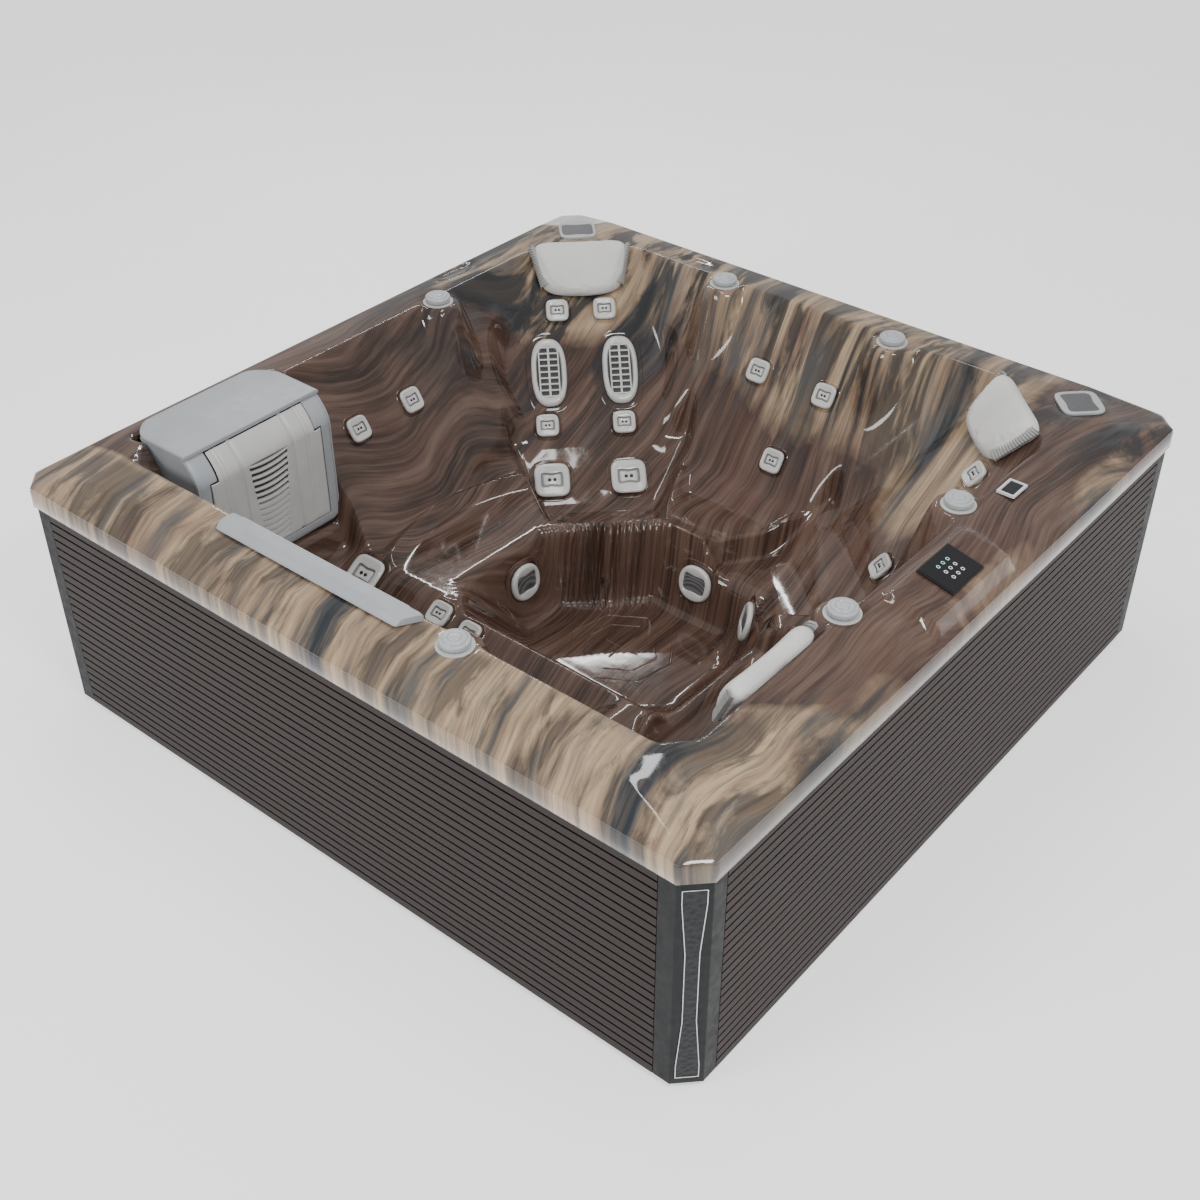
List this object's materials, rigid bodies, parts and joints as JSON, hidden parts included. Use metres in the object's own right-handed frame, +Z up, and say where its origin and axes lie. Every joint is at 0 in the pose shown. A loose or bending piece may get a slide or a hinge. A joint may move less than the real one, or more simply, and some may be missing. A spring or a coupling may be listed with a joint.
{
  "type": "square acrylic hot tub",
  "caption": "Square acrylic hot tub on a slatted cabinet, with bucket seats, a lounge, headrests, turning jets and rim knobs, a touch panel and a filter with a hinged louvred door.",
  "frame": {"origin": "middle of the footprint, on the floor under the feet", "axes": "+Z up; -Y the side with the touch panel; +X to the right of it"},
  "size_m": [2.3, 2.3, 0.8518],
  "materials": {
    "acrylic": "high gloss swirled marble",
    "slats": "satin, with dark red-brown grooves",
    "post_metal": "satin",
    "bright_trim": "satin",
    "lens": "gloss with a fine texture",
    "base_plastic": "matte",
    "timber": "planed",
    "foil": "foil facing",
    "motor_paint": "satin",
    "heater_steel": "brushed",
    "box_plastic": "matte",
    "pipe_plastic": "satin",
    "fitting_plastic": "satin",
    "knob_plastic": "satin",
    "mesh_plastic": "fine mesh",
    "dark_trim": "satin",
    "screen_glass": "mirror gloss",
    "white_plastic": "satin",
    "filter_plastic": "satin",
    "door_plastic": "satin",
    "pleats": "pleated",
    "headrest_foam": "soft moulded foam skin"
  },
  "bodies": {
    "tub": {"base_pan": "base_plastic", "frame": "timber", "shell": "acrylic", "panel_front": "slats", "panel_back": "slats", "panel_left": "slats", "panel_right": "slats", "corner_posts": "post_metal", "light_bezels": "bright_trim", "light_lenses": "lens", "insulation": "foil", "pump_left": "motor_paint", "pump_right": "motor_paint", "heater": "heater_steel", "control_box": "box_plastic", "air_blower": "motor_paint", "pipework": "pipe_plastic", "drain_valve": "base_plastic", "valve_bodies": "fitting_plastic", "jet_bodies": "fitting_plastic", "grille_jets": "fitting_plastic", "suction_covers": "fitting_plastic", "footwell_lamp": "dark_trim", "speaker_rings": "knob_plastic", "speaker_grilles": "mesh_plastic", "touch_bezel": "dark_trim", "touch_screen": "screen_glass", "display_bezel": "white_plastic", "filter_frame": "filter_plastic", "filter_cartridges": "pleats", "headrest_corner": "headrest_foam", "headrest_right": "headrest_foam", "headrest_front": "headrest_foam", "waterfall_bar": "filter_plastic", "waterfall_lip": "white_plastic"},
    "knob_back": {"knob_back": "knob_plastic"},
    "knob_right_back": {"knob_right_back": "knob_plastic"},
    "knob_right_front": {"knob_right_front": "knob_plastic"},
    "knob_front_right": {"knob_front_right": "knob_plastic"},
    "knob_front_left": {"knob_front_left": "knob_plastic"},
    "knob_left": {"knob_left": "knob_plastic"},
    "jet_corner_low_left": {"jet_corner_low_left": "fitting_plastic"},
    "jet_corner_low_right": {"jet_corner_low_right": "fitting_plastic"},
    "jet_corner_mid_left": {"jet_corner_mid_left": "fitting_plastic"},
    "jet_corner_mid_right": {"jet_corner_mid_right": "fitting_plastic"},
    "jet_corner_high_left": {"jet_corner_high_left": "fitting_plastic"},
    "jet_corner_high_right": {"jet_corner_high_right": "fitting_plastic"},
    "jet_back_right": {"jet_back_right": "fitting_plastic"},
    "jet_back_left": {"jet_back_left": "fitting_plastic"},
    "jet_right_high_back": {"jet_right_high_back": "fitting_plastic"},
    "jet_right_high_front": {"jet_right_high_front": "fitting_plastic"},
    "jet_right_low": {"jet_right_low": "fitting_plastic"},
    "jet_nook_high": {"jet_nook_high": "fitting_plastic"},
    "jet_nook_mid": {"jet_nook_mid": "fitting_plastic"},
    "jet_nook_low": {"jet_nook_low": "fitting_plastic"},
    "jet_lounge_knee": {"jet_lounge_knee": "fitting_plastic"},
    "jet_lounge_calf": {"jet_lounge_calf": "fitting_plastic"},
    "jet_lounge_foot": {"jet_lounge_foot": "fitting_plastic"},
    "filter_door": {"filter_door": "door_plastic"}
  },
  "joints": [
    {"name": "knob_back_turn", "type": "hinge", "parent": "tub", "child": "knob_back", "pos_m": [0.25, 0.925, 0.805], "axis": [0, 0, 1], "range_deg": [0, 180]},
    {"name": "knob_right_back_turn", "type": "hinge", "parent": "tub", "child": "knob_right_back", "pos_m": [0.925, 0.309, 0.805], "axis": [0, 0, 1], "range_deg": [0, 180]},
    {"name": "knob_right_front_turn", "type": "hinge", "parent": "tub", "child": "knob_right_front", "pos_m": [0.925, -0.313, 0.805], "axis": [0, 0, 1], "range_deg": [0, 180]},
    {"name": "knob_front_right_turn", "type": "hinge", "parent": "tub", "child": "knob_front_right", "pos_m": [0.276, -0.911, 0.805], "axis": [0, 0, 1], "range_deg": [0, 180]},
    {"name": "knob_front_left_turn", "type": "hinge", "parent": "tub", "child": "knob_front_left", "pos_m": [-0.306, -0.933, 0.805], "axis": [0, 0, 1], "range_deg": [0, 180]},
    {"name": "knob_left_turn", "type": "hinge", "parent": "tub", "child": "knob_left", "pos_m": [-0.972, -0.313, 0.805], "axis": [0, 0, 1], "range_deg": [0, 180]},
    {"name": "jet_corner_low_left_turn", "type": "hinge", "parent": "tub", "child": "jet_corner_low_left", "pos_m": [0.30924, 0.51854, 0.272], "axis": [-0.4243, -0.4243, 0.8], "range_deg": [0, 90]},
    {"name": "jet_corner_low_right_turn", "type": "hinge", "parent": "tub", "child": "jet_corner_low_right", "pos_m": [0.4846, 0.34318, 0.272], "axis": [-0.4243, -0.4243, 0.8], "range_deg": [0, 90]},
    {"name": "jet_corner_mid_left_turn", "type": "hinge", "parent": "tub", "child": "jet_corner_mid_left", "pos_m": [0.41154, 0.62367, 0.39], "axis": [-0.5, -0.5, 0.7071], "range_deg": [0, 90]},
    {"name": "jet_corner_mid_right_turn", "type": "hinge", "parent": "tub", "child": "jet_corner_mid_right", "pos_m": [0.58831, 0.44689, 0.39], "axis": [-0.5, -0.5, 0.7071], "range_deg": [0, 90]},
    {"name": "jet_corner_high_left_turn", "type": "hinge", "parent": "tub", "child": "jet_corner_high_left", "pos_m": [0.64347, 0.7764, 0.662], "axis": [-0.5, -0.5, 0.7071], "range_deg": [0, 90]},
    {"name": "jet_corner_high_right_turn", "type": "hinge", "parent": "tub", "child": "jet_corner_high_right", "pos_m": [0.75307, 0.6668, 0.662], "axis": [-0.5, -0.5, 0.7071], "range_deg": [0, 90]},
    {"name": "jet_back_right_turn", "type": "hinge", "parent": "tub", "child": "jet_back_right", "pos_m": [-0.011, 0.80767, 0.606], "axis": [0, -0.8327, 0.5537], "range_deg": [0, 90]},
    {"name": "jet_back_left_turn", "type": "hinge", "parent": "tub", "child": "jet_back_left", "pos_m": [-0.233, 0.80767, 0.606], "axis": [0, -0.8327, 0.5537], "range_deg": [0, 90]},
    {"name": "jet_right_high_back_turn", "type": "hinge", "parent": "tub", "child": "jet_right_high_back", "pos_m": [0.81166, 0.081, 0.612], "axis": [-0.8327, 0, 0.5537], "range_deg": [0, 90]},
    {"name": "jet_right_high_front_turn", "type": "hinge", "parent": "tub", "child": "jet_right_high_front", "pos_m": [0.81166, -0.166, 0.612], "axis": [-0.8327, 0, 0.5537], "range_deg": [0, 90]},
    {"name": "jet_right_low_turn", "type": "hinge", "parent": "tub", "child": "jet_right_low", "pos_m": [0.67666, -0.081, 0.409], "axis": [-0.8327, 0, 0.5537], "range_deg": [0, 90]},
    {"name": "jet_nook_high_turn", "type": "hinge", "parent": "tub", "child": "jet_nook_high", "pos_m": [0.63427, -0.78277, 0.66], "axis": [-0.5, 0.5, 0.7071], "range_deg": [0, 90]},
    {"name": "jet_nook_mid_turn", "type": "hinge", "parent": "tub", "child": "jet_nook_mid", "pos_m": [0.54306, -0.75802, 0.578], "axis": [-0.5, 0.5, 0.7071], "range_deg": [0, 90]},
    {"name": "jet_nook_low_turn", "type": "hinge", "parent": "tub", "child": "jet_nook_low", "pos_m": [0.40942, -0.64559, 0.404], "axis": [-0.5, 0.5, 0.7071], "range_deg": [0, 90]},
    {"name": "jet_lounge_knee_turn", "type": "hinge", "parent": "tub", "child": "jet_lounge_knee", "pos_m": [-0.4525, 0.28, 0.295], "axis": [-0.5547, 0, 0.8321], "range_deg": [0, 90]},
    {"name": "jet_lounge_calf_turn", "type": "hinge", "parent": "tub", "child": "jet_lounge_calf", "pos_m": [-0.463, 0.158, 0.288], "axis": [-0.5547, 0, 0.8321], "range_deg": [0, 90]},
    {"name": "jet_lounge_foot_turn", "type": "hinge", "parent": "tub", "child": "jet_lounge_foot", "pos_m": [-0.454, 0.584, 0.294], "axis": [-0.5547, 0, 0.8321], "range_deg": [0, 90]},
    {"name": "filter_door_swing", "type": "hinge", "parent": "tub", "child": "filter_door", "pos_m": [0, 0.744, 0.445], "axis": [1, 0, 0], "range_deg": [0, 70]}
  ]
}
